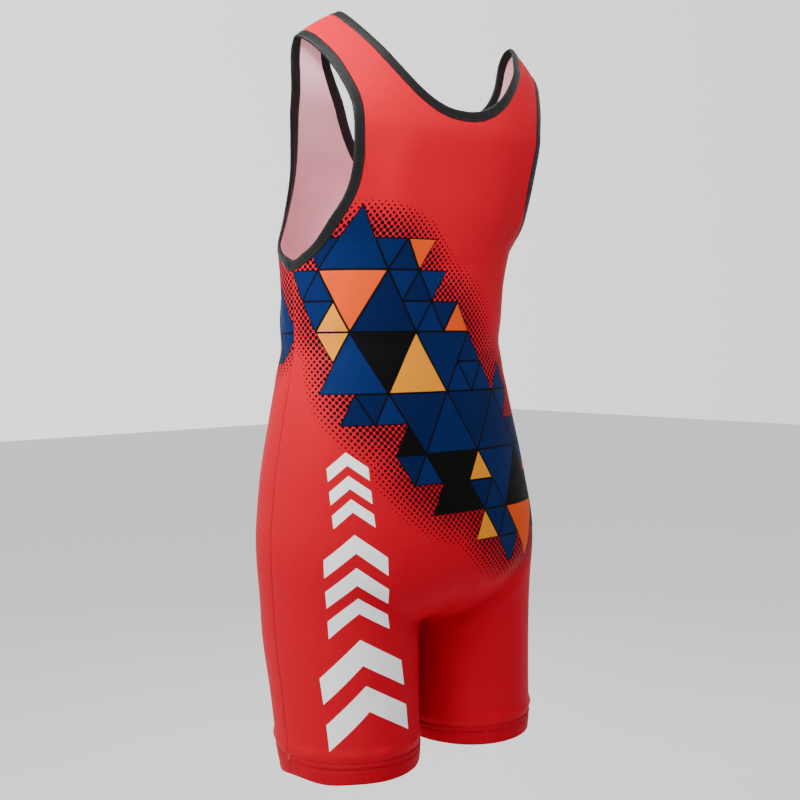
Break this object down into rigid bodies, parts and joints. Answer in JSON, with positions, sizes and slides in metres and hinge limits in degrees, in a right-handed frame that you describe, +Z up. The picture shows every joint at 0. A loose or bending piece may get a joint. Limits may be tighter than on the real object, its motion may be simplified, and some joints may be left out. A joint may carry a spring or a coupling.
{
  "type": "wrestling singlet",
  "caption": "Sleeveless one-piece stretch garment with short legs, bound neck and armholes and turned hems, standing open as if worn.",
  "frame": {"origin": "midway between the two strap crests at their neck ends, where the wearer's shoulders hold the garment up", "axes": "+Z up, towards the neck; the front faces -Y; +X is the wearer's left"},
  "size_m": [0.3538, 0.2272, 0.8048],
  "materials": {
    "red_stretch_cloth": "smooth satin stretch knit, red with a printed pattern, pale pink inside",
    "black_binding": "black folded stretch binding, dull sheen"
  },
  "bodies": {
    "root": {"back_panel": "red_stretch_cloth", "front_panel": "red_stretch_cloth", "neck_binding": "black_binding", "armhole_binding_left": "black_binding", "armhole_binding_right": "black_binding"}
  },
  "joints": []
}
